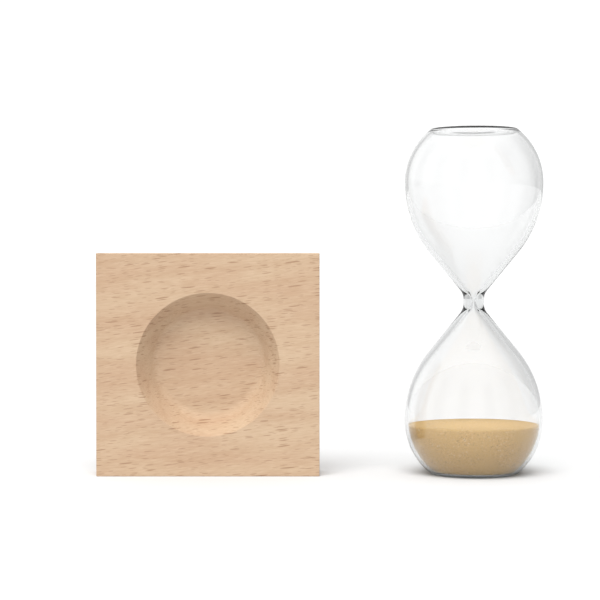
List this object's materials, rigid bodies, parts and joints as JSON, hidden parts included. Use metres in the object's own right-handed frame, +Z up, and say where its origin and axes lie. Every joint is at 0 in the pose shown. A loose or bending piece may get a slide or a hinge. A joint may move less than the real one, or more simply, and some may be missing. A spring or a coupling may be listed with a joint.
{
  "type": "hourglass",
  "caption": "Sand hourglass: a clear two-bulb glass with golden sand standing beside its square beech base, whose round dished seat faces forward.",
  "frame": {"origin": "centre of the glass's foot, on the surface that the set stands on", "axes": "+Z up along the glass's axis; -Y the side that the seat in the base faces; -X towards the base, which stands on one edge beside the glass"},
  "size_m": [0.161, 0.05, 0.125],
  "materials": {
    "beech": "satin",
    "clear_glass": "polished",
    "sand": "matte"
  },
  "bodies": {
    "base": {"base_block": "beech"},
    "sand": {"sand": "sand"},
    "glass": {"lower_bulb": "clear_glass", "neck_collar": "clear_glass", "upper_bulb": "clear_glass", "fill_seal": "clear_glass"}
  },
  "joints": [
    {"name": "glass_lift", "type": "slide", "parent": "base", "child": "sand", "axis": [0, 0, 1], "range_m": [0, 0.03]},
    {"name": "glass_turn", "type": "hinge", "parent": "sand", "child": "glass", "pos_m": [0, 0, 0.0625], "axis": [1, 0, 0], "range_deg": [0, 180], "deforming": ["sand"]}
  ]
}
